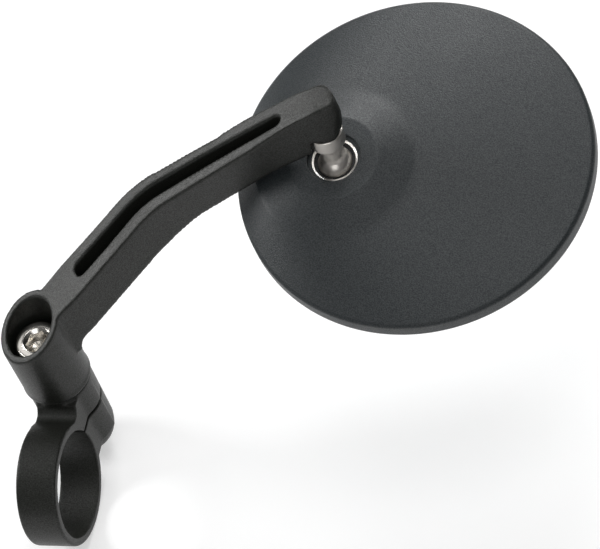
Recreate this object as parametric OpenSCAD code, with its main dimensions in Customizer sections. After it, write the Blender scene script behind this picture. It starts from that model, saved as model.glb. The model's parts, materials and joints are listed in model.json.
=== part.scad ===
// Bar end mirror: a split clamp for a handlebar end, a machined arm that turns on the clamp's bolt,
// and a round mirror that leans and turns on a ball joint.
// The bar runs along X through the origin, the ears are on +Y, the clamp bolt stands along Z.

/* [Clamp ring] */
// Bore that closes on the bar end, diameter
bore_d = 30; // [22:0.5:36]
// Wall of the ring
ring_wall = 2.3; // [1.8:0.1:5]
// Width of the ring along the bar
ring_w = 11.8; // [8:0.2:20]
// Chamfer on the ring's edges
ring_edge = 0.4; // [0.2:0.1:0.8]

/* [Clamp ears] */
// Distance from the bar's axis to the clamp bolt
ear_y = 25.7; // [24:0.1:32]
// Shift of the ears along the bar
ear_shift = -1.2; // [-2:0.1:2]
// Radius of the ears at the arm
ear_r = 9.4; // [8:0.1:12]
// Radius of the ears at their closed end
ear_r_end = 8.5; // [7:0.1:12]
// Height of the ears above and below the bar's axis
ear_h = 15.9; // [14:0.1:20]
// Chamfer at the top of the ears
ear_chamfer = 0.9; // [0.4:0.1:1.5]
// Rounding at the closed end of the ears
ear_round = 7.5; // [4:0.1:8]
// Width of the slit
slit_w = 0.8; // [0.5:0.1:2]
// Height of the slit above the bar's axis
slit_z = 4.4; // [-5:0.1:6]
// Fillet between the ears and the ring
ear_fillet = 3; // [1:0.1:4]

/* [Clamp bolt] */
// Thread diameter
bolt_d = 8; // [6:1:8]
// Length under the head
bolt_len = 38; // [34:1:38]
// Head diameter
head_d = 13; // [10:0.5:13]
// Key size, across flats
key_af = 6; // [5:1:6]

/* [Arm] */
// Radius of the arm's boss over the ears
boss_r = 9.8; // [9.2:0.1:11]
// Height of the arm's top face on the bolt's axis
top_z = 40.7; // [38:0.1:46]
// Direction in which the arm climbs, seen from above
arm_turn = 42.2; // [0:0.1:90]
// Slope of the arm's top face
incline = 28.7; // [20:0.1:35]
// Depth of the arm on the first run
run1_depth = 15.4; // [12:0.1:20]
// Depth of the arm on the second run
run2_depth = 12.6; // [10:0.1:16]
// Depth of the arm over the ball stud
end_depth = 13.1; // [10:0.1:16]
// Fillet between the arm's underside and its boss
under_fillet = 6; // [3:0.5:9]
// Length of the first run, seen from above
run1_len = 43.9; // [36:0.1:50]
// Length of the second run, seen from above
run2_len = 56; // [45:0.1:70]
// Turn of the first run from the climbing direction
run1_turn = -5.4; // [-10:0.1:5]
// Turn of the second run from the climbing direction
run2_turn = -28.6; // [-40:0.1:-10]
// Radius of the bend's middle line
bend_r = 28; // [15:1:40]
// Width of the arm at the boss
run1_w = 11.8; // [9:0.1:14]
// Width of the arm past the bend
run2_w = 8.2; // [7:0.1:10]
// Radius of the arm's round end
end_r_top = 5.3; // [4.6:0.1:6.5]
// Radius of the small corner beside it
toe_r = 3.6; // [1:0.1:4.5]
// Half width of the arm before its end
waist_r = 4.6; // [4.2:0.1:5.5]
// Radius of the arm's end at the ball stud
end_r_seat = 5.2; // [4.9:0.1:6]
// Growth of that radius with height
end_taper = 0.12; // [0.05:0.01:0.3]
// Dip of the top face at the very end
end_dip = 2.6; // [0:0.1:3.5]
// Counterbore for the bolt head, diameter
cbore_d = 15.4; // [14:0.1:16]
// Height of the counterbore's floor above the ears
cbore_floor = 10; // [6:0.1:14]

/* [Arm slot] */
// Width of the slot
slot_w = 4; // [2:0.1:5]
// Depth of the slot
slot_depth = 7; // [3:0.1:9]
// Start of the slot, along the first run
slot_start = 20.3; // [16:0.1:30]
// End of the slot, short of the arm's end
slot_stop = 12.2; // [9:0.1:30]
// Shift of the slot across the arm
slot_shift = 0.5; // [-1:0.1:1]

/* [Ball stud] */
// Lean of the stud from the bolt's direction
stud_lean = 4.3; // [0:0.1:12]
// Direction of that lean, seen from above
stud_dir = 51.2; // [-180:0.1:180]
// Ball diameter
ball_d = 10; // [8:0.1:12]
// Neck diameter
neck_d = 6.7; // [5:0.1:7]
// Collar diameter
collar_d = 9.7; // [8:0.1:11]
// Height of the collar's lower edge over the ball's centre
collar_lo = 10.2; // [8:0.1:12]
// Height of the arm's seat over the ball's centre
stud_rise = 14.4; // [12:0.1:18]
// Thread diameter in the arm
stud_thread_d = 6; // [5:1:6]
// Length of the thread in the arm
stud_thread_len = 7; // [5:0.5:9]

/* [Mirror] */
// Outer diameter of the mirror
mirror_d = 98.6; // [90:0.1:110]
// Height of the side wall
rim_h = 5; // [3:0.1:8]
// Chamfer at the back of the side wall
rim_edge = 0.8; // [0.3:0.1:1.5]
// Distance from the ball to the mirror's middle
mirror_off = 20.4; // [10:0.1:24]
// Depth from the ball's centre to the front edge
ball_depth = 10.9; // [10.5:0.1:14]
// Lean of the mirror at rest
lean = 9.8; // [0:0.1:15]
// Direction of that lean, seen from above
lean_dir = -56.9; // [-180:0.1:180]
// Direction from the ball to the mirror's middle, seen from above
mirror_dir = 13.1; // [-40:0.1:60]
// Diameter of the soft crease between the two cones
crease_d = 44.6; // [36:0.1:50]
// Height of the crease over the ball's centre
crease_h = 0.2; // [-2:0.1:2]
// Diameter of the flat round the socket
flat_d = 24.4; // [20:0.1:28]
// Height of the flat over the ball's centre
flat_h = 3.8; // [3:0.1:5]
// Thickness of the shell
shell_t = 2.4; // [1.6:0.1:3]
// Mouth of the socket in the flat, diameter
mouth_d = 14.8; // [14:0.1:16]
// Radius of the mirror glass's curve
glass_curve = 1200; // [600:50:2000]
// Thickness of the glass
glass_t = 1.8; // [1.2:0.1:2]

/* [Fits] */
// Radial play of a running fit
run_play = 0.05; // [0.02:0.01:0.1]
// Play between parts of one assembly
gap = 0.05; // [0.03:0.01:0.1]

/* [Hidden] */
$fn = 96;
e = 0.01;
bore_r = bore_d / 2;
ring_r = bore_r + ring_wall;
bolt_r = bolt_d / 2;
bolt_hole_r = bolt_r + run_play;
head_floor = ear_h + cbore_floor;
bolt_tip = head_floor - bolt_len;
ball_r = ball_d / 2;
race_in = ball_r + run_play;
// plan points, seen along the bolt from the boss's middle
bend = run1_len * [cos(run1_turn), sin(run1_turn)];
tip = bend + run2_len * [cos(run2_turn), sin(run2_turn)];
seat_xy = tip + [-0.4, -0.3];
toe_xy = tip + [2, -2.3];
waist_xy = tip - 15.2 * [cos(run2_turn), sin(run2_turn)] + [0, 0.5];
top_k = tan(incline);
tip_top = top_z + tip[0] * top_k;
seat_z = tip_top - end_depth;
stud_axis = [sin(stud_lean) * cos(stud_dir), sin(stud_lean) * sin(stud_dir), cos(stud_lean)];
// the line across the end where the top face starts to dip
fold_a = on_top(tip + [-5.4, 8.1], 0);
fold_b = on_top(tip + [3.1, -5.5], 0);
fold_n = cross(on_top(tip + [5.1, 1.5], end_dip) - fold_b, fold_a - fold_b);
// ball's centre in the part's own frame
ball_pos = [
    ear_shift + seat_xy[0] * cos(arm_turn) - seat_xy[1] * sin(arm_turn),
    ear_y + seat_xy[0] * sin(arm_turn) + seat_xy[1] * cos(arm_turn), seat_z] - stud_rise * stud_axis;
rim_r = mirror_d / 2;
front_z = -ball_depth;
wall_top = front_z + rim_h;
glass_r = rim_r - 2.1;
seal_w = 0.7;
recess_r = glass_r + seal_w + 0.1;
glass_back = front_z + 0.3 + glass_t;
pad_t = 0.8;
floor_z = glass_back + pad_t + gap;
// the steel socket that holds the two races
socket_r = 8;
socket_in = 6.95;
nose_r = 6.4;
nose_in = 5.35;
shoulder_z = 1.45;
nose_z = 2.4;
cup_r = socket_in - gap;
race_out = 6.5;
// the lower race is a slice of a shell
race_low = -4.9;
race_low_h = 2.2;
// the plug, the washer and the cup stand on each other under it
plug_t = 1.45;
plug_top = floor_z + plug_t;
key_hole_r = 1;
key_hole_at = 4;
washer_t = 0.4;
washer_rise = 0.3;
washer_r = cup_r - 2 * gap;
washer_in = 3.6;
cup_low = plug_top + washer_rise + washer_t + 2 * gap;
cup_top = -2.1;

// turns a profile in the YZ plane into a bar along X, w wide
module along_x(w) {
    rotate([90, 0, 90])
        linear_extrude(w, center = true)
            children();
}

// the frame in which the arm's plan is drawn
module plan_frame() {
    translate([ear_shift, ear_y, 0])
        rotate([0, 0, arm_turn])
            children();
}

// the frame of the ball stud: its origin is the ball's centre
module stud_frame() {
    translate(ball_pos)
        rotate([0, 0, stud_dir])
            rotate([0, stud_lean, 0])
                children();
}

// the frame of the mirror: its origin is the ball's centre and its back faces +Z
module mirror_frame() {
    translate(ball_pos)
        rotate([0, 0, lean_dir])
            rotate([0, lean, 0])
                rotate([0, 0, mirror_dir - lean_dir])
                    children();
}

module ear_plan() {
    offset(r = -ear_fillet) offset(delta = ear_fillet) {
        translate([ear_shift, ear_y]) circle(ear_r - e);
        translate([-ring_w / 2, 0]) square([ring_w, ear_y]);
    }
}

module ear_side() {
    offset(r = -ear_fillet) offset(delta = ear_fillet) {
        circle(ring_r);
        translate([ear_y - ear_r + 0.3, -ear_h]) square([2 * ear_r + 4, 2 * ear_h]);
    }
}

module ear_post() {
    // the ears' round body: chamfered where the arm turns, rounded at the closed end
    translate([ear_shift, ear_y, 0])
        rotate_extrude()
            difference() {
                polygon([[0, -ear_h], [ear_r_end, -ear_h], [ear_r, ear_h - ear_chamfer],
                    [ear_r - ear_chamfer, ear_h], [0, ear_h]]);
                translate([ear_r_end - ear_round + 0.05, -ear_h + ear_round])
                    difference() {
                        translate([0, -ear_round - 1]) square([ear_round + 2, ear_round + 1]);
                        circle(ear_round);
                    }
            }
}

module ear_web() {
    // joins the round ears to the ring, with fillets both ways
    intersection() {
        translate([0, 0, -ear_h + ear_round]) linear_extrude(2 * ear_h - ear_round - ear_chamfer - 0.6) ear_plan();
        along_x(4 * ear_r) ear_side();
        translate([-3 * ear_r, 0, -2 * ear_h]) cube([6 * ear_r, ear_y, 4 * ear_h]);
    }
}

module bar_clamp() {
    color([0.13, 0.13, 0.14])
        difference() {
            union() {
                rotate([0, 90, 0])
                    rotate_extrude()
                        polygon([[bore_r - 1, -ring_w / 2], [ring_r - ring_edge, -ring_w / 2],
                            [ring_r, -ring_w / 2 + ring_edge], [ring_r, ring_w / 2 - ring_edge],
                            [ring_r - ring_edge, ring_w / 2], [bore_r - 1, ring_w / 2]]);
                ear_web();
                ear_post();
            }
            rotate([0, 90, 0]) cylinder(h = 6 * ear_r, r = bore_r, center = true);
            // the slit, right through both walls of the ears
            translate([-3 * ear_r, bore_r - 3, slit_z - slit_w / 2]) cube([6 * ear_r, 4 * ear_r, slit_w]);
            translate([ear_shift, ear_y, bolt_tip - 1]) cylinder(h = 3 * ear_h, r = bolt_hole_r);
        }
}

module clamp_bolt() {
    color([0.72, 0.71, 0.69])
        translate([ear_shift, ear_y, head_floor])
            difference() {
                rotate_extrude()
                    polygon([[0, -bolt_len], [bolt_r - 0.8, -bolt_len], [bolt_r, -bolt_len + 0.8], [bolt_r, 0],
                        [head_d / 2, 0], [head_d / 2, bolt_d - 0.6], [head_d / 2 - 0.6, bolt_d], [0, bolt_d]]);
                translate([0, 0, bolt_d - 4.2]) cylinder(h = 5, r = key_af / sqrt(3), $fn = 6);
                // the lead-in cone of the key socket
                translate([0, 0, bolt_d - 0.35])
                    cylinder(h = 0.36, r1 = key_af / sqrt(3) - 0.35, r2 = key_af / sqrt(3) + 0.25);
            }
}

// one side of the arm's plan as points, at the given half width; side is 1 or -1
function arc_at(i) =
    let (turn = run1_turn - run2_turn, reach = bend_r * tan(turn / 2))
    let (start = bend - reach * [cos(run1_turn), sin(run1_turn)])
    let (mid = start + bend_r * [sin(run1_turn), -cos(run1_turn)])
    let (a = run1_turn + 90 - turn * i)
    mid + bend_r * [cos(a), sin(a)];
function edge(w0, w1, side, shift, from, to) =
    let (d1 = [cos(run1_turn), sin(run1_turn)], n1 = [-d1[1], d1[0]])
    let (d2 = [cos(run2_turn), sin(run2_turn)], n2 = [-d2[1], d2[0]])
    concat(
        [d1 * from + n1 * (side * w0 / 2 + shift)],
        [for (i = [0 : 0.125 : 1])
            let (a = run1_turn + (run2_turn - run1_turn) * i, w = w0 + (w1 - w0) * (0.55 + 0.45 * i))
            arc_at(i) + [-sin(a), cos(a)] * (side * w / 2 + shift)],
        [tip - d2 * to + n2 * (side * w1 / 2 + shift)]);
function flip(v) = [for (i = [len(v) - 1 : -1 : 0]) v[i]];

module arm_plan() {
    offset(delta = e) {
        polygon(concat(edge(run1_w, run2_w, 1, 0, 0, 0), flip(edge(run1_w, run2_w, -1, 0, 0, 0))));
        // the second run widens a little before the end
        hull() {
            translate(waist_xy) circle(waist_r, $fn = 48);
            translate(waist_xy - 13 * [cos(run2_turn), sin(run2_turn)]) circle(run2_w / 2 - 0.2, $fn = 48);
        }
        hull() {
            translate(tip) circle(end_r_top, $fn = 48);
            translate(toe_xy) circle(toe_r, $fn = 32);
            translate(waist_xy) circle(waist_r, $fn = 48);
        }
    }
}

module slot_plan() {
    // a thin middle line, widened to the slot with round ends
    offset(r = slot_w / 2 - e, $fn = 48)
        polygon(concat(edge(2 * e, 2 * e, 1, slot_shift, slot_start, slot_stop),
            flip(edge(2 * e, 2 * e, -1, slot_shift, slot_start, slot_stop))));
}

// everything below the top face, lowered by drop
module under_top(drop) {
    translate([0, 0, top_z - drop])
        rotate([0, -incline, 0])
            translate([-60, -80, -160]) cube([240, 160, 160]);
}

// a point of the arm's plan on its top face, or lower by drop
function on_top(q, drop) = [q[0], q[1], top_z + q[0] * top_k - drop];

// depth of the arm under its top plane, x along the climbing direction
function depth_at(x) =
    let (a = bend[0] - 1, b = bend[0] + 12)
    x < a ? run1_depth
    : x < b ? run1_depth + (run2_depth - run1_depth) * (1 - cos(180 * (x - a) / (b - a))) / 2
    : run2_depth + (end_depth - run2_depth) * (x - b) / (tip[0] - b);
function under_at(x) = [x, top_z + x * top_k - depth_at(x)];

// the space above the underside of the runs
module over_under() {
    // the fillet that carries the underside into the boss
    fr = under_fillet;
    cx = boss_r + fr - 0.4;
    cz = under_at(cx)[1] - fr / cos(incline);
    steps = concat([cx + 1], [for (i = [0 : 8]) bend[0] - 1 + 13 * i / 8], [tip[0], tip[0] + 20]);
    rotate([90, 0, 0])
        linear_extrude(120, center = true)
            polygon(concat([[-5, 150], [-5, cz]],
                [for (t = [180 : -5 : 90 + incline]) [cx + fr * cos(t), cz + fr * sin(t)]],
                    [for (x = steps) under_at(x)], [[tip[0] + 20, 150]]));
}

module arm() {
    color([0.15, 0.15, 0.155])
        difference() {
            union() {
                plan_frame()
                    intersection() {
                        translate([0, 0, 5]) linear_extrude(120) arm_plan();
                        over_under();
                        under_top(0);
                    }
                plan_frame()
                    intersection() {
                        union() {
                            translate([0, 0, ear_h]) cylinder(h = 45, r = boss_r);
                            translate([0, 0, ear_h]) cylinder(h = 1.1, r = boss_r + 0.2);
                        }
                        under_top(0);
                    }
            }
            // the end narrows towards the seat of the stud
            stud_frame()
                rotate([0, 0, arm_turn + run2_turn - stud_dir])
                    difference() {
                        translate([0, -20, stud_rise - 10]) cube([30, 40, 60]);
                        translate([0, 0, stud_rise - 10])
                            cylinder(h = 60, r1 = end_r_seat - 10 * end_taper, r2 = end_r_seat + 50 * end_taper);
                    }
            plan_frame() {
                translate(fold_b)
                    rotate([0, acos(fold_n[2] / norm(fold_n)), atan2(fold_n[1], fold_n[0])])
                        translate([-30, -30, 0]) cube([60, 60, 30]);
                // the blind slot in the top face
                difference() {
                    translate([0, 0, 20]) linear_extrude(90) slot_plan();
                    under_top(slot_depth);
                }
                translate([0, 0, head_floor]) cylinder(h = 40, r = cbore_d / 2);
                translate([0, 0, ear_h - 1]) cylinder(h = 40, r = bolt_hole_r);
            }
            // a flat seat for the stud's collar
            stud_frame() {
                translate([0, 0, stud_rise - 9]) cylinder(h = 9, r = end_r_seat + 0.6);
                translate([0, 0, stud_rise - 1]) cylinder(h = stud_thread_len + 1.6, r = stud_thread_d / 2 + gap);
            }
        }
}

module ball_stud() {
    flare = collar_lo - 6.2;
    color([0.74, 0.72, 0.7])
        stud_frame() {
            sphere(ball_r);
            rotate_extrude()
                difference() {
                    polygon([[0, 0], [neck_d / 2, 0], [neck_d / 2, collar_lo - flare + 0.2],
                        [collar_d / 2 - 0.1, collar_lo], [collar_d / 2, collar_lo + 0.3], [collar_d / 2, stud_rise],
                        [stud_thread_d / 2, stud_rise], [stud_thread_d / 2, stud_rise + stud_thread_len - 0.6],
                        [stud_thread_d / 2 - 0.6, stud_rise + stud_thread_len], [0, stud_rise + stud_thread_len]]);
                    translate([neck_d / 2 + flare * 1.9, collar_lo - flare]) circle(flare * 1.9);
                }
        }
}

module upper_race() {
    color([0.1, 0.1, 0.1])
        mirror_frame()
            difference() {
                translate([0, 0, 0.1]) cylinder(h = shoulder_z - gap - 0.1, r = cup_r);
                sphere(race_in);
            }
}

module lower_race() {
    color([0.1, 0.1, 0.1])
        mirror_frame()
            intersection() {
                difference() {
                    sphere(race_out);
                    sphere(race_in);
                }
                translate([0, 0, race_low]) cylinder(h = race_low_h, r = socket_r);
            }
}

module race_cup() {
    color([0.6, 0.6, 0.6])
        mirror_frame()
            difference() {
                translate([0, 0, cup_low]) cylinder(h = cup_top - cup_low, r = cup_r);
                sphere(race_out + run_play);
            }
}

module spring_washer() {
    color([0.55, 0.55, 0.55])
        mirror_frame()
            translate([0, 0, plug_top + gap])
                rotate_extrude()
                    polygon([[washer_in, washer_rise], [washer_r, 0], [washer_r, washer_t],
                        [washer_in, washer_rise + washer_t]]);
}

module socket_plug() {
    color([0.6, 0.6, 0.6])
        mirror_frame()
            difference() {
                translate([0, 0, floor_z]) cylinder(h = plug_top - floor_z, r = cup_r);
                for (a = [0, 180])
                    rotate([0, 0, a]) translate([key_hole_at, 0, floor_z - 1])
                        cylinder(h = plug_top - floor_z + 2, r = key_hole_r);
            }
}

module ball_socket() {
    color([0.8, 0.8, 0.8])
        mirror_frame()
            rotate_extrude()
                polygon([[socket_in, floor_z], [socket_r, floor_z], [socket_r, shoulder_z], [nose_r, shoulder_z],
                    [nose_r, nose_z], [nose_in, shoulder_z + 0.1], [nose_in, shoulder_z], [socket_in, shoulder_z]]);
}

// a round cone that slants from the mirror's middle at z0 to the ball's axis at z1
module slanted_cone(z0, z1, r0, r1) {
    hull() {
        translate([mirror_off, 0, z0]) cylinder(h = 0.02, r = r0);
        translate([0, 0, z1 - 0.02]) cylinder(h = 0.02, r = r1);
    }
}

// the shell's outside: a low slanted cone from the rim to the crease, then a steeper one to the flat
module shell_outside() {
    slanted_cone(wall_top - e, crease_h, rim_r - rim_edge, crease_d / 2);
    translate([mirror_off, 0, front_z]) cylinder(h = rim_h - rim_edge, r = rim_r);
    translate([mirror_off, 0, wall_top - rim_edge]) cylinder(h = rim_edge, r1 = rim_r, r2 = rim_r - rim_edge);
    translate([0, 0, crease_h - 1]) cylinder(h = 1, r = crease_d / 2 - 0.2);
    translate([0, 0, crease_h]) cylinder(h = flat_h - crease_h, r1 = crease_d / 2, r2 = flat_d / 2);
}

module shell_inside() {
    translate([mirror_off, 0, front_z - 1]) cylinder(h = floor_z - front_z + 1, r = recess_r);
    difference() {
        slanted_cone(floor_z - 0.1, crease_h - shell_t, recess_r - 4, crease_d / 2 - 3);
        translate([0, 0, floor_z - 1]) cylinder(h = 12, r = socket_r + 2.6);
    }
}

module mirror_housing() {
    color([0.16, 0.165, 0.17])
        mirror_frame()
            difference() {
                shell_outside();
                shell_inside();
                translate([0, 0, floor_z - 1]) cylinder(h = shoulder_z - floor_z + 1, r = socket_r + gap);
                translate([0, 0, 0]) cylinder(h = 6, r = nose_r + gap);
                translate([0, 0, nose_z]) cylinder(h = 6, r = mouth_d / 2);
            }
}

module glass_pad() {
    color([0.2, 0.2, 0.2])
        mirror_frame()
            translate([mirror_off, 0, glass_back]) cylinder(h = pad_t, r = glass_r - 3);
}

module mirror_glass() {
    // the slightly convex front is made of slim cones
    color([0.75, 0.8, 0.82])
        mirror_frame()
            translate([mirror_off, 0, glass_back])
                rotate_extrude()
                    polygon(concat([[0, 0]], [for (i = [0 : 8])
                        let (r = glass_r * i / 8)
                        [r, -glass_t - 0.6 + r * r / (2 * glass_curve)]], [[glass_r, 0]]));
}

module rim_seal() {
    color([0.05, 0.05, 0.05])
        mirror_frame()
            translate([mirror_off, 0, front_z + 0.2])
                difference() {
                    cylinder(h = 2.6, r = recess_r - gap);
                    translate([0, 0, -1]) cylinder(h = 5, r = glass_r + gap);
                }
}

bar_clamp();
clamp_bolt();
arm();
ball_stud();
lower_race();
upper_race();
mirror_housing();
ball_socket();
race_cup();
spring_washer();
socket_plug();
glass_pad();
mirror_glass();
rim_seal();
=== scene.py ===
import bpy
import math
import json
import numpy as np
from mathutils import Matrix, Vector


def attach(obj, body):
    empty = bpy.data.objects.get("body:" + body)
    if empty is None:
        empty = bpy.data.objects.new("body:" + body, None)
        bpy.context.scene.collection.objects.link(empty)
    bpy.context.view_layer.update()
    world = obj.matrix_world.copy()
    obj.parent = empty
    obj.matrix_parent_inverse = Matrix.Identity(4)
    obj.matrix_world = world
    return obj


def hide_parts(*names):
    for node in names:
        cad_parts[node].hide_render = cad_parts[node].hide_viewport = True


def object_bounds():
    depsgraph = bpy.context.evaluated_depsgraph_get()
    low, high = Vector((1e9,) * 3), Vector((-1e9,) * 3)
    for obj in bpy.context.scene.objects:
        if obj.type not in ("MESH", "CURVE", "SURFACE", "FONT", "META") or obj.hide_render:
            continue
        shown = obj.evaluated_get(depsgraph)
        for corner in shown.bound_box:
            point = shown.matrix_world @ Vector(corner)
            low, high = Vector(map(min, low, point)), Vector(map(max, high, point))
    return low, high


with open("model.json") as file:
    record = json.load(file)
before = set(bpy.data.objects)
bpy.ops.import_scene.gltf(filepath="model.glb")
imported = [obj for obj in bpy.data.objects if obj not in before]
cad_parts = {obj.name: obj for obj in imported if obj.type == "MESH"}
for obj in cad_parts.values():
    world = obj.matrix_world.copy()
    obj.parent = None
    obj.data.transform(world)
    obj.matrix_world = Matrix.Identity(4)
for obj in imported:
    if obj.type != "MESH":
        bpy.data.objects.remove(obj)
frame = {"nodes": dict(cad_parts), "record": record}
CAD_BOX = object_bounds()

# Lengths are in millimetres and angles in degrees, down to the floor.
MM = 0.001
JOINTS = {j["name"]: j for j in frame["record"]["behaviour"]["joints"]}
BALL = Vector(JOINTS["ball_pan"]["pos_m"]) / MM
EAR_SHIFT, EAR_Y = -1.2, 25.7


def rot(axis, deg):
    return Matrix.Rotation(math.radians(deg), 4, axis)


# Meshes
def at(shift, *points):
    """Profile points from (radius, height) pairs, all moved sideways by the same shift."""
    return [(r, z, shift) for r, z in points]


# The most of an edge that the rounding of one corner may take
CORNER_SHARE = 0.45


def soften(profile, radii, steps):
    """Rounds the corners of a closed profile of (radius, height, shift) points."""
    out = []
    n = len(profile)
    for i, p in enumerate(profile):
        p = Vector(p)
        before = Vector(profile[i - 1])
        after = Vector(profile[(i + 1) % n])
        r = radii[i]
        if not r:
            out.append(tuple(p))
            continue
        a = p + (before - p).normalized() * min(r, (before - p).length * CORNER_SHARE)
        b = p + (after - p).normalized() * min(r, (after - p).length * CORNER_SHARE)
        for k in range(steps + 1):
            t = k / steps
            out.append(tuple(a * (1 - t) ** 2 + p * (2 * t * (1 - t)) + b * t * t))
    return out


SEGMENTS = 192
SIXTH = math.pi / 3
SHARP_ANGLE = 40


def ring(r, z, shift, six):
    """One ring of a lathe: a circle, or a hexagon cut by a cone, whose flats lie deeper than its corners."""
    points = []
    for k in range(SEGMENTS):
        a = 2 * math.pi * k / SEGMENTS
        reach, drop = r, 0
        if six:
            reach = r / math.cos(a % SIXTH - SIXTH / 2)
            drop = r / math.cos(SIXTH / 2) - reach
        points.append((shift + reach * math.cos(a), reach * math.sin(a), z - drop))
    return points


def lathe(name, profile, place, closed=True, hexagons=()):
    """Turns (radius, height, shift) points round Z. A radius of 0 is a point on the axis.

    The points numbered in hexagons, with half the width across flats as their radius, make six-sided rings.
    """
    verts, faces, rings = [], [], []
    for i, (r, z, shift) in enumerate(profile):
        points = ring(r, z, shift, i in hexagons) if r else [(shift, 0.0, z)]
        rings.append(list(range(len(verts), len(verts) + len(points))))
        verts += points
    pairs = list(zip(rings, rings[1:]))
    if closed:
        pairs.append((rings[-1], rings[0]))
    for lo, hi in pairs:
        for k in range(SEGMENTS):
            j = (k + 1) % SEGMENTS
            if len(lo) == 1:
                faces.append((lo[0], hi[j], hi[k]))
            elif len(hi) == 1:
                faces.append((lo[k], lo[j], hi[0]))
            else:
                faces.append((lo[k], lo[j], hi[j], hi[k]))
    mesh = bpy.data.meshes.new(name)
    mesh.from_pydata([(place @ Vector(v)) * MM for v in verts], [], faces)
    height = mesh.attributes.new("lathe_h", "FLOAT", "POINT")
    radius = mesh.attributes.new("lathe_r", "FLOAT", "POINT")
    for i, v in enumerate(verts):
        height.data[i].value = v[2]
        radius.data[i].value = math.hypot(v[0], v[1])
    for poly in mesh.polygons:
        poly.use_smooth = True
    mesh.set_sharp_from_angle(angle=math.radians(SHARP_ANGLE))
    obj = bpy.data.objects.new(name, mesh)
    bpy.context.collection.objects.link(obj)
    return obj


def voxels(obj, size):
    """Evens out a mesh into small faces of one size."""
    remesh = obj.modifiers.new("even", "REMESH")
    remesh.mode = "VOXEL"
    remesh.voxel_size = size * MM
    return remesh


def smooth(obj, rounds):
    soft = obj.modifiers.new("soft", "SMOOTH")
    soft.factor = 0.5
    soft.iterations = rounds


def add(obj, body, node, material):
    obj.data.materials.clear()
    obj.data.materials.append(material)
    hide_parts(node)
    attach(obj, body)


# Materials. Noise scales are per metre, and the pairs are shares of a material's own roughness or gloss.
GRAIN_BUMP, TURNED_BUMP = 0.1 * MM, 0.03 * MM
STEEL_GRAIN, STEEL_DEPTH, STEEL_ROUGH = 1800.0, 0.04, (0.8, 1.2)
TURNED_UNEVEN, TURNED_ROUGH = 900.0, (0.8, 1.25)
SPECKLE, SPECKLE_FROM, SPECKLE_TO = (0.6, 1.4), 0.35, 0.65


def shader(name, color, metallic, rough, specular=0.5):
    mat = bpy.data.materials.new(name)
    mat.use_nodes = True
    bsdf = mat.node_tree.nodes["Principled BSDF"]
    bsdf.inputs["Base Color"].default_value = (*color, 1)
    bsdf.inputs["Metallic"].default_value = metallic
    bsdf.inputs["Roughness"].default_value = rough
    bsdf.inputs["Specular IOR Level"].default_value = specular
    return mat, mat.node_tree, bsdf


def shader_node(tree, kind, values=None):
    """A new node of a material, with values for some of its inputs."""
    made = tree.nodes.new("ShaderNode" + kind)
    for name, value in (values or {}).items():
        made.inputs[name].default_value = value
    return made


def calc(tree, operation, *terms):
    """The output of a math node whose terms are numbers or outputs of other nodes."""
    made = shader_node(tree, "Math")
    made.operation = operation
    for socket, term in zip(made.inputs, terms):
        if isinstance(term, bpy.types.NodeSocket):
            tree.links.new(term, socket)
        else:
            socket.default_value = term
    return made.outputs[0]


def noise(tree, scale, detail):
    """Noise in the object's own space."""
    made = shader_node(tree, "TexNoise", {"Scale": scale, "Detail": detail})
    coord = shader_node(tree, "TexCoord")
    tree.links.new(coord.outputs["Object"], made.inputs["Vector"])
    return made.outputs["Fac"]


def spread(tree, into, value, low, high, start=0.0, end=1.0):
    """Maps a value that runs from start to end onto low to high, for one input of the shader."""
    ramp = shader_node(tree, "MapRange", {"From Min": start, "From Max": end, "To Min": low, "To Max": high})
    tree.links.new(value, ramp.inputs["Value"])
    tree.links.new(ramp.outputs["Result"], into)


def raise_bump(tree, bsdf, height, strength, distance):
    bump = shader_node(tree, "Bump", {"Strength": strength, "Distance": distance})
    tree.links.new(height, bump.inputs["Height"])
    tree.links.new(bump.outputs["Normal"], bsdf.inputs["Normal"])


def grain(tree, bsdf, scale, depth, rough_low, rough_high, big=90.0):
    """A fine surface grain with slightly uneven roughness. Gives back the fine noise."""
    fine = noise(tree, scale, 3.0)
    spread(tree, bsdf.inputs["Roughness"], noise(tree, big, 4.0), rough_low, rough_high)
    raise_bump(tree, bsdf, fine, depth, GRAIN_BUMP)
    return fine


def turned(tree, bsdf, attribute, pitch, depth, rough):
    """Fine lathe rings that follow a stored height or radius in millimetres."""
    value = shader_node(tree, "Attribute")
    value.attribute_name = attribute
    wave = calc(tree, "SINE", calc(tree, "MULTIPLY", value.outputs["Fac"], 2 * math.pi / pitch))
    uneven = noise(tree, TURNED_UNEVEN, 2.0)
    spread(tree, bsdf.inputs["Roughness"], uneven, *[rough * share for share in TURNED_ROUGH])
    raise_bump(tree, bsdf, calc(tree, "ADD", wave, uneven), depth, TURNED_BUMP)


def dark(name, color, rough_low, rough_high, scale, depth, specular=0.3):
    """A black finish with a grain, and with a speckle in its gloss."""
    mat, tree, bsdf = shader(name, color, 0.0, rough_low, specular)
    fine = grain(tree, bsdf, scale, depth, rough_low, rough_high)
    low, high = [specular * share for share in SPECKLE]
    spread(tree, bsdf.inputs["Specular IOR Level"], fine, low, high, SPECKLE_FROM, SPECKLE_TO)
    return mat


def steel(name, color, rough, *turning):
    """A bright metal with a grain, or with turning given by its attribute, pitch and depth."""
    mat, tree, bsdf = shader(name, color, 1.0, rough)
    if turning:
        turned(tree, bsdf, *turning, rough)
    else:
        grain(tree, bsdf, STEEL_GRAIN, STEEL_DEPTH, *[rough * share for share in STEEL_ROUGH])
    return mat


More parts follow.
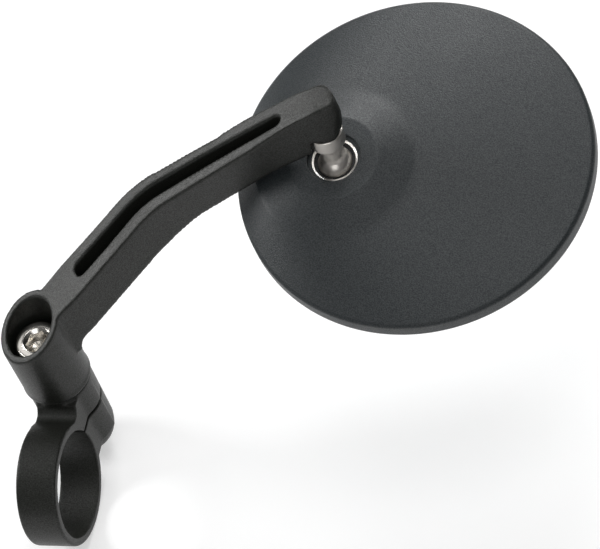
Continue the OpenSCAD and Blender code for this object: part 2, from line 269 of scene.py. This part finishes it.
CLAMP_BLACK = dark("clamp black", (0.0145, 0.0155, 0.013), 0.36, 0.5, 2900.0, 0.7, 0.35)
ARM_BLACK = dark("arm black", (0.0145, 0.0155, 0.013), 0.36, 0.48, 2900.0, 0.8, 0.35)
SHELL_BLACK = dark("shell charcoal", (0.0205, 0.0255, 0.028), 0.4, 0.52, 2900.0, 0.8, 0.5)
RACE = dark("race plastic", (0.015, 0.015, 0.015), 0.45, 0.6, 1500.0, 0.2)
PAD = dark("pad foam", (0.02, 0.02, 0.02), 0.7, 0.9, 900.0, 0.5)
SEAL = dark("seal rubber", (0.012, 0.012, 0.012), 0.5, 0.65, 1200.0, 0.3)
BOLT_STEEL = steel("bolt steel", (0.8, 0.77, 0.72), 0.24)
STUD_STEEL = steel("stud steel", (0.82, 0.78, 0.73), 0.3, "lathe_h", 0.3, 0.35)
SOCKET_STEEL = steel("socket steel", (0.85, 0.85, 0.84), 0.2, "lathe_r", 0.2, 0.25)
SPRING_STEEL = steel("spring steel", (0.4, 0.4, 0.42), 0.35)
GLASS, glass_tree, glass_bsdf = shader("mirror silver", (0.86, 0.89, 0.9), 1.0, 0.015)
grain(glass_tree, glass_bsdf, 400.0, 0.01, 0.01, 0.03)

# Mirror head, with its origin in the middle of the ball and the disc's middle MIRROR_OFF to one side
RIM_R, RIM_H, RIM_BEVEL, MIRROR_OFF, BALL_DEPTH = 49.3, 5.0, 0.8, 20.4, 10.9
CREASE_R, CREASE_H, FLAT_R, FLAT_H = 22.3, 0.2, 12.2, 3.8
MOUTH_R, NOSE_R, NOSE_Z, SHOULDER_Z = 7.4, 6.4, 2.4, 1.45
SOCKET_R, SOCKET_IN, NOSE_IN, LIP_DROP = 8.0, 6.95, 5.75, 0.35
SOCKET_GAP, SHOULDER_GAP = 0.06, 0.01
WALL, SEAL_GAP, GLASS_INSET, PAD_GAP = 2.1, 0.8, 0.3, 0.05
GLASS_T, PAD_T, GLASS_CURVE, GLASS_CROWN, GLASS_BEVEL, GLASS_RINGS = 1.8, 0.8, 1200.0, 0.6, 0.25, 24
GLASS_R = RIM_R - WALL
RECESS_R = GLASS_R + SEAL_GAP
FRONT_Z = -BALL_DEPTH
GLASS_BACK = FRONT_Z + GLASS_INSET + GLASS_T
FLOOR_Z = GLASS_BACK + PAD_T + PAD_GAP
HEAD_AXES = [Vector(JOINTS[name]["axis"]) for name in ("ball_pan", "ball_tilt", "ball_spin")]
MIRROR = Matrix.Translation(BALL) @ Matrix(HEAD_AXES).transposed().to_4x4()

shell = at(
    0, (SOCKET_R + SOCKET_GAP, FLOOR_Z), (SOCKET_R + SOCKET_GAP, SHOULDER_Z),
    (NOSE_R + SOCKET_GAP, SHOULDER_Z), (NOSE_R + SOCKET_GAP, NOSE_Z), (MOUTH_R, NOSE_Z),
    (MOUTH_R, FLAT_H), (FLAT_R, FLAT_H), (CREASE_R, CREASE_H),
) + at(
    MIRROR_OFF, (RIM_R - RIM_BEVEL, FRONT_Z + RIM_H), (RIM_R, FRONT_Z + RIM_H - RIM_BEVEL),
    (RIM_R, FRONT_Z), (RECESS_R, FRONT_Z), (RECESS_R, FLOOR_Z),
)
shell_round = [0, 0, 0, 0, 0, 0.25, 0.5, 1.6, 0.45, 0.45, 0.35, 0.25, 0]
add(lathe("shell_turned", soften(shell, shell_round, 6), MIRROR),
    "mirror", "mirror_housing", SHELL_BLACK)

socket = at(
    0, (SOCKET_IN, FLOOR_Z), (SOCKET_R, FLOOR_Z), (SOCKET_R, SHOULDER_Z - SHOULDER_GAP),
    (NOSE_R, SHOULDER_Z - SHOULDER_GAP), (NOSE_R, NOSE_Z), (NOSE_IN, NOSE_Z - LIP_DROP),
    (NOSE_IN, SHOULDER_Z), (SOCKET_IN, SHOULDER_Z),
)
socket_round = [0, 0.1, 0, 0, 0.12, 0.05, 0, 0]
add(lathe("socket_ring", soften(socket, socket_round, 3), MIRROR),
    "mirror", "ball_socket", SOCKET_STEEL)


def glass_front(r):
    return GLASS_BACK - GLASS_T - GLASS_CROWN + r * r / (2 * GLASS_CURVE)


glass_radii = [(GLASS_R - GLASS_BEVEL) * i / GLASS_RINGS for i in range(GLASS_RINGS, -1, -1)]
glass = at(MIRROR_OFF, (0, GLASS_BACK), (GLASS_R, GLASS_BACK), (GLASS_R, glass_front(GLASS_R) + GLASS_BEVEL),
           *[(r, glass_front(r)) for r in glass_radii])
add(lathe("glass_disc", glass, MIRROR, closed=False), "mirror", "mirror_glass", GLASS)

# Ball stud, with its origin in the middle of the ball
STUD_LEAN, STUD_DIR = 4.3, 51.2
BALL_R, BALL_STEP = 5.0, 5
NECK_R, NECK_MARGIN, NECK_RINGS = 3.3, 0.1, (3.95, 5.2, 6.4)
COLLAR_R, COLLAR_LO, COLLAR_HI, COLLAR_LAND, COLLAR_BEVEL = 4.85, 10.2, 14.4, 0.25, 0.15
FLARE, FLARE_H, FLARE_RINGS = COLLAR_R - NECK_R, 2.6, 12
STUD_R, STUD_LEN, STUD_TIP_R, STUD_TIP = 2.98, 7.0, 2.4, 0.6
STUD = Matrix.Translation(BALL) @ rot("Z", STUD_DIR) @ rot("Y", STUD_LEAN)

ball = []
for deg in range(BALL_STEP - 90, 90, BALL_STEP):
    r, z = BALL_R * math.cos(math.radians(deg)), BALL_R * math.sin(math.radians(deg))
    if z < 0 or r >= NECK_R + NECK_MARGIN:
        ball.append((r, z))
flare = []
for k in range(1, FLARE_RINGS + 1):
    a = math.radians(k * 90 / FLARE_RINGS)
    flare.append((NECK_R + FLARE * (1 - math.cos(a)), COLLAR_LO - FLARE_H * (1 - math.sin(a))))
stud = at(
    0, (0, -BALL_R), *ball, *[(NECK_R, z) for z in NECK_RINGS], (NECK_R, COLLAR_LO - FLARE_H), *flare,
    (COLLAR_R, COLLAR_LO + COLLAR_LAND), (COLLAR_R, COLLAR_HI - COLLAR_BEVEL),
    (COLLAR_R - COLLAR_BEVEL, COLLAR_HI), (STUD_R, COLLAR_HI), (STUD_R, COLLAR_HI + STUD_LEN - STUD_TIP),
    (STUD_TIP_R, COLLAR_HI + STUD_LEN), (0, COLLAR_HI + STUD_LEN),
)
add(lathe("stud_turned", stud, STUD, closed=False), "swing_arm", "ball_stud", STUD_STEEL)

# Clamp bolt: a socket cap screw, whose six-sided key socket has a cone at its mouth
BOLT_R, BOLT_LEN, BOLT_TIP, HEAD_R, HEAD_FLOOR = 4.0, 38.0, 0.8, 6.5, 25.9
HEAD_H = 2 * BOLT_R
HEAD_EDGE = (0, 0.8), (0.12, 0.45), (0.45, 0.12), (0.8, 0)
KEY_R, KEY_DEPTH, KEY_END, KEY_TURN = 3.0, 4.2, 1.2, 22.0
CONE_R, CONE_EDGE = 4.0, (0.08, 0.05)
KEY_CORNER = KEY_R / math.cos(SIXTH / 2)

bolt = at(
    0, (0, -BOLT_LEN), (BOLT_R - BOLT_TIP, -BOLT_LEN), (BOLT_R, BOLT_TIP - BOLT_LEN), (BOLT_R, 0), (HEAD_R, 0),
    *[(HEAD_R - inward, HEAD_H - down) for inward, down in HEAD_EDGE],
    (CONE_R, HEAD_H), (CONE_R - CONE_EDGE[0], HEAD_H - CONE_EDGE[1]),
    (KEY_R, HEAD_H + KEY_CORNER - CONE_R), (KEY_R, HEAD_H - KEY_DEPTH), (0, HEAD_H - KEY_DEPTH - KEY_END),
)
BOLT = Matrix.Translation((EAR_SHIFT, EAR_Y, HEAD_FLOOR)) @ rot("Z", KEY_TURN)
key_rings = (len(bolt) - 3, len(bolt) - 2)
add(lathe("bolt_turned", bolt, BOLT, closed=False, hexagons=key_rings),
    "clamp", "clamp_bolt", BOLT_STEEL)

# Arm: the CAD solid evened out and moved to the real arm's lines. In plan, s is the length along the
# middle line from the start of its bend, t the distance to the left of it, and depth goes down from the
# sloping plane of the top. These sizes are the solid's.
ARM_TURN, TOP_Z, INCLINE, END_DEPTH, BOSS_R = 42.2, 40.7, 28.7, 13.1, 9.8
RUN1_LEN, RUN1_TURN, RUN2_LEN, RUN2_TURN, BEND_R = 43.9, -5.4, 56.0, -28.6, 28.0
FOLD_A, FOLD_B, FOLD_LOW = np.array((-5.4, 8.1)), np.array((3.1, -5.5)), np.array((5.1, 1.5))
FOLD_DIP, FOLD_FROM, LEVEL_FROM, LOW_GAP = 2.6, -12, -14, 0.3
END_LOW = END_DEPTH - LOW_GAP
SLOT_FRONT, SLOT_BACK, STRIP_FRONT, STRIP_BACK = -1.55, 2.55, 4.1, 4.2
# The gentle bend of the end's top, in place of the solid's fold
DIP, DIP_FROM, DIP_RUN = 1.3, -9.0, 14.5
# How far each side and each wall of the slot moves, at five lengths along the arm
WIDTH_AT = (-30, -10, 10, 26, 48)
BACK_MORE, FRONT_MORE = (0.4, 0.6, 1.25, 1.2, 0.4), (0.6, 0.8, 1.0, 0.4, -0.15)
WALL_FRONT, WALL_BACK = (-0.4, -0.5, 0.2, 0.5, 0.5), (-0.4, -0.4, -0.4, -0.4, -0.95)
BOSS_BLEND, WALLS_FROM, WALLS_TO = 7, -10, -5
# The wanted outline of the end's top face, and where it takes over from the runs
END_FRONT, END_BACK, BACK_SLOPE = 3.35, 4.15, 0.06
END_MID, END_R, END_SOFT = (1.05, -1.0), 5.2, 12.0
SHAPE_FROM, SHAPE_FULL, CORE = -22.0, -10.0, 2.4
ROUND_FROM, ROUND_FULL = -3, 0.5
# How the mesh's own outline is read: how deep a point may lie, and how wide each reading is
TOP_BAND, ANGLE_STEP, ANGLE_HALF, LENGTH_HALF = 0.6, 5, 4, 0.7
ARM_VOXEL, ARM_ROUNDS = 0.32, 16


def heading(deg):
    return np.array([math.cos(math.radians(deg)), math.sin(math.radians(deg))])


def left_of(way):
    return np.array([-way[1], way[0]])


WAY1, WAY2 = heading(RUN1_TURN), heading(RUN2_TURN)
CORNER = RUN1_LEN * WAY1
BEND = math.radians(RUN1_TURN - RUN2_TURN)
REACH = BEND_R * math.tan(BEND / 2)
START, LEAVE = CORNER - REACH * WAY1, CORNER + REACH * WAY2
CENTRE = START - BEND_R * left_of(WAY1)
ARC_LEN = BEND_R * BEND
TIP = CORNER + RUN2_LEN * WAY2
TIP_S = ARC_LEN + RUN2_LEN - REACH


def evened(name, node, size):
    """A copy of a CAD node as a mesh of small faces of one size."""
    obj = bpy.data.objects.new(name, node.data.copy())
    obj.matrix_world = node.matrix_world
    bpy.context.collection.objects.link(obj)
    voxels(obj, size)
    bpy.context.view_layer.update()
    mesh = bpy.data.meshes.new_from_object(obj.evaluated_get(bpy.context.evaluated_depsgraph_get()))
    mesh.transform(obj.matrix_world)
    obj.modifiers.clear()
    obj.data = mesh
    obj.matrix_world = Matrix.Identity(4)
    return obj


def smoothstep(x, low, high):
    f = np.clip((x - low) / (high - low), 0.0, 1.0)
    return f * f * (3 - 2 * f)


def to_arm(plan):
    ray = plan - CENTRE
    s = BEND_R * (math.radians(RUN1_TURN + 90) - np.arctan2(ray[:, 1], ray[:, 0]))
    t = np.hypot(ray[:, 0], ray[:, 1]) - BEND_R
    before, after = (plan - START) @ WAY1 < 0, (plan - LEAVE) @ WAY2 > 0
    s = np.where(after, ARC_LEN + (plan - LEAVE) @ WAY2, s)
    t = np.where(after, (plan - LEAVE) @ left_of(WAY2), t)
    s = np.where(before, (plan - START) @ WAY1, s)
    t = np.where(before, (plan - START) @ left_of(WAY1), t)
    return s, t


def from_arm(s, t):
    before, after = (s < 0)[:, None], (s > ARC_LEN)[:, None]
    s, t = s[:, None], t[:, None]
    angle = math.radians(RUN1_TURN + 90) - s / BEND_R
    curved = CENTRE + (BEND_R + t) * np.concatenate([np.cos(angle), np.sin(angle)], 1)
    run1 = START + s * WAY1 + t * left_of(WAY1)
    run2 = LEAVE + (s - ARC_LEN) * WAY2 + t * left_of(WAY2)
    return np.where(before, run1, np.where(after, run2, curved))


def bend_end(plan, from_tip, depth):
    """Gives the depths with the end's gentle bend in place of its fold, and the depths of the bend alone."""
    across = left_of(FOLD_A - FOLD_B)
    across = across / ((FOLD_LOW - FOLD_B) @ across)
    folded = np.maximum(0, FOLD_DIP * ((plan - TIP - FOLD_B) @ across))
    folded = np.where(from_tip > FOLD_FROM, folded, 0)
    bent = DIP * (np.clip(from_tip - DIP_FROM, 0, None) / DIP_RUN) ** 2
    moved = bent + (depth - folded) * (END_LOW - bent) / (END_LOW - folded)
    return np.where((depth < END_LOW) & (from_tip > LEVEL_FROM), moved, depth), bent


def widen(s, t, from_tip):
    """How far points move across the arm, to widen its runs and to shift the walls of its slot."""
    rows = (BACK_MORE, FRONT_MORE, WALL_FRONT, WALL_BACK)
    back, front, wall_front, wall_back = [np.interp(s, WIDTH_AT, row) for row in rows]
    inner = np.clip((t - SLOT_FRONT) / (SLOT_BACK - SLOT_FRONT), 0, 1)
    outer_back = np.clip((t - SLOT_BACK) / (STRIP_BACK - SLOT_BACK), 0, 1)
    outer_front = np.clip((SLOT_FRONT - t) / (STRIP_FRONT + SLOT_FRONT), 0, 1)
    walls = (wall_front * (1 - inner) + wall_back * inner) * (1 - outer_back) * (1 - outer_front)
    sides = back * outer_back - front * outer_front
    sides = sides * (1 - smoothstep(from_tip, SHAPE_FROM, SHAPE_FULL))
    return sides + walls * (1 - smoothstep(from_tip, WALLS_FROM, WALLS_TO))


def end_reach(along, t):
    """Distance from the end's middle to the wanted outline, in the direction of (along, t)."""
    r = np.hypot(along, t) + 1e-9
    cos, sin = along / r, t / r
    middle = END_MID[0] * cos + END_MID[1] * sin
    round_end = middle + np.sqrt(END_R ** 2 - END_MID[0] ** 2 - END_MID[1] ** 2 + middle ** 2)
    side = np.where(sin > 0, END_BACK, END_FRONT) / np.maximum(np.abs(sin), 1e-3)
    return (round_end ** -END_SOFT + side ** -END_SOFT) ** (-1 / END_SOFT)


def narrow_end(t, from_tip, depth, bent):
    """Moves the outline of the end's top face, read off the mesh, to the wanted one."""
    is_top = (depth - bent < TOP_BAND) & (from_tip > SHAPE_FROM - 2)
    angle, far = np.degrees(np.arctan2(t, from_tip)), np.hypot(from_tip, t)
    angles = np.arange(-90, 91, ANGLE_STEP)
    have = [far[is_top & (np.abs(angle - a) < ANGLE_HALF)].max() for a in angles]
    lengths = np.arange(SHAPE_FROM, 1)
    beside = [t[is_top & (np.abs(from_tip - b) < LENGTH_HALF)] for b in lengths]
    front = np.interp(from_tip, lengths, [-side.min() for side in beside])
    back = np.interp(from_tip, lengths, [side.max() for side in beside])
    weight = np.clip(1 - depth / END_LOW, 0, 1) * smoothstep(from_tip, SHAPE_FROM, SHAPE_FULL)
    # along the run, each side by itself
    want = np.where(t > 0, END_BACK - BACK_SLOPE * from_tip, END_FRONT)
    got = np.where(t > 0, back, front)
    edge = np.clip((np.abs(t) - CORE) / (got - CORE), 0, 1)
    t_run = t + weight * np.sign(t) * edge * (want - got)
    # round the end, away from its middle
    grow = 1 + weight * (end_reach(from_tip, t) / np.interp(angle, angles, have) - 1)
    mix = smoothstep(from_tip, ROUND_FROM, ROUND_FULL)
    return t_run * (1 - mix) + t * grow * mix, np.where(from_tip > 0, from_tip * grow, from_tip)


def shape_arm(points):
    """Gives the arm's runs their full width, and its end the narrow round top, bent down a little."""
    cos, sin = heading(ARM_TURN)
    slope = math.tan(math.radians(INCLINE))
    x, y = points[:, 0] - EAR_SHIFT, points[:, 1] - EAR_Y
    plan = np.stack([x * cos + y * sin, y * cos - x * sin], 1)
    near = smoothstep(np.hypot(plan[:, 0], plan[:, 1]), BOSS_R, BOSS_R + BOSS_BLEND)
    s, t = to_arm(plan)
    from_tip = s - TIP_S
    depth, bent = bend_end(plan, from_tip, TOP_Z + plan[:, 0] * slope - points[:, 2])
    t = t + near * widen(s, t, from_tip)
    t, from_tip = narrow_end(t, from_tip, depth, bent)
    plan = from_arm(TIP_S + from_tip, t)
    x = plan[:, 0] * cos - plan[:, 1] * sin + EAR_SHIFT
    y = plan[:, 0] * sin + plan[:, 1] * cos + EAR_Y
    z = TOP_Z + plan[:, 0] * slope - depth
    return np.where((near > 0)[:, None], np.stack([x, y, z], 1), points)


arm = evened("arm_body", frame["nodes"]["arm"], ARM_VOXEL)
flat = np.empty(len(arm.data.vertices) * 3)
arm.data.vertices.foreach_get("co", flat)
arm.data.vertices.foreach_set("co", (shape_arm(flat.reshape(-1, 3) / MM) * MM).ravel())
arm.data.polygons.foreach_set("use_smooth", [True] * len(arm.data.polygons))
arm.data.update()
smooth(arm, ARM_ROUNDS)
add(arm, "swing_arm", "arm", ARM_BLACK)

# CAD pieces that stay. The clamp's edges are softened.
CLAMP_VOXEL, CLAMP_ROUNDS = 0.28, 6
keep = {
    "bar_clamp": CLAMP_BLACK, "lower_race": RACE, "upper_race": RACE, "race_cup": SOCKET_STEEL,
    "spring_washer": SPRING_STEEL, "socket_plug": SOCKET_STEEL, "glass_pad": PAD, "rim_seal": SEAL,
}
for name, material in keep.items():
    for material_slot in frame["nodes"][name].material_slots:
        material_slot.material = material
clamp = frame["nodes"]["bar_clamp"]
voxels(clamp, CLAMP_VOXEL).use_smooth_shade = True
smooth(clamp, CLAMP_ROUNDS)

# Floor, in metres from here on. It glows for the camera and in reflections, and lights nothing.
FLOOR_HALF, FLOOR_DROP, FLOOR_GLOW = 4, 0.0002, 0.5
corners = [(-1, -1), (1, -1), (1, 1), (-1, 1)]
floor_mesh = bpy.data.meshes.new("floor")
floor_mesh.from_pydata([(x * FLOOR_HALF, y * FLOOR_HALF, CAD_BOX[0][2] - FLOOR_DROP) for x, y in corners],
                       [], [(0, 1, 2, 3)])
floor = bpy.data.objects.new("floor", floor_mesh)
bpy.context.collection.objects.link(floor)
floor_mat, floor_tree, floor_bsdf = shader("floor white", (0.6, 0.6, 0.6), 0.0, 0.7, 0.2)
path = shader_node(floor_tree, "LightPath").outputs
seen = calc(floor_tree, "ADD", path["Is Camera Ray"], path["Is Glossy Ray"])
seen = calc(floor_tree, "ADD", seen, path["Is Transmission Ray"])
floor_bsdf.inputs["Emission Color"].default_value = (1, 1, 1, 1)
floor_tree.links.new(calc(floor_tree, "MULTIPLY", seen, FLOOR_GLOW), floor_bsdf.inputs["Emission Strength"])
grain(floor_tree, floor_bsdf, 40.0, 0.02, 0.65, 0.8, 3.0)
floor_mesh.materials.append(floor_mat)

# Light
WORLD_LIGHT = 0.11
LIT_POINT = Vector((0.07, 0.05, 0.04))
world = bpy.data.worlds.new("world")
bpy.context.scene.world = world
world.use_nodes = True
background = world.node_tree.nodes["Background"]
background.inputs["Color"].default_value = (1, 1, 1, 1)
background.inputs["Strength"].default_value = WORLD_LIGHT


def softbox(name, place, size, power):
    light = bpy.data.lights.new(name, "AREA")
    light.shape = "RECTANGLE"
    light.size, light.size_y = size
    light.energy = power
    obj = bpy.data.objects.new(name, light)
    obj.location = place
    obj.rotation_euler = (LIT_POINT - Vector(place)).to_track_quat("-Z", "Y").to_euler()
    bpy.context.collection.objects.link(obj)


softbox("key", (0.05, 1.3, 1.0), (0.6, 0.5), 12)
softbox("left", (-1.15, 0.12, 0.82), (0.5, 0.5), 11)
softbox("front", (0.3, -1.15, 1.15), (1.0, 0.8), 4.5)
softbox("back", (-0.6, 0.9, 1.35), (0.8, 0.8), 1.6)
softbox("above", (0.35, 0.15, 1.6), (0.7, 0.7), 5)

# Camera, fitted to the photograph. The two directions are its own right and its own back.
CAMERA_PLACE, SENSOR, LENS, FAR_CLIP = (0.5743, -0.7196, 1.1875), 36, 323.5, 20
camera = bpy.data.cameras.new("camera")
camera.sensor_width = SENSOR
camera.lens = LENS
camera.clip_end = FAR_CLIP
view = bpy.data.objects.new("camera", camera)
bpy.context.collection.objects.link(view)
right = Vector((0.94, 0.19481, -0.2801)).normalized()
back = Vector((0.34112, -0.52071, 0.78262)).normalized()
right = (right - back * right.dot(back)).normalized()
turn = Matrix((right, back.cross(right), back)).transposed()
view.matrix_world = Matrix.Translation(CAMERA_PLACE) @ turn.to_4x4()
bpy.context.scene.camera = view
bpy.context.scene.view_settings.view_transform = "Standard"
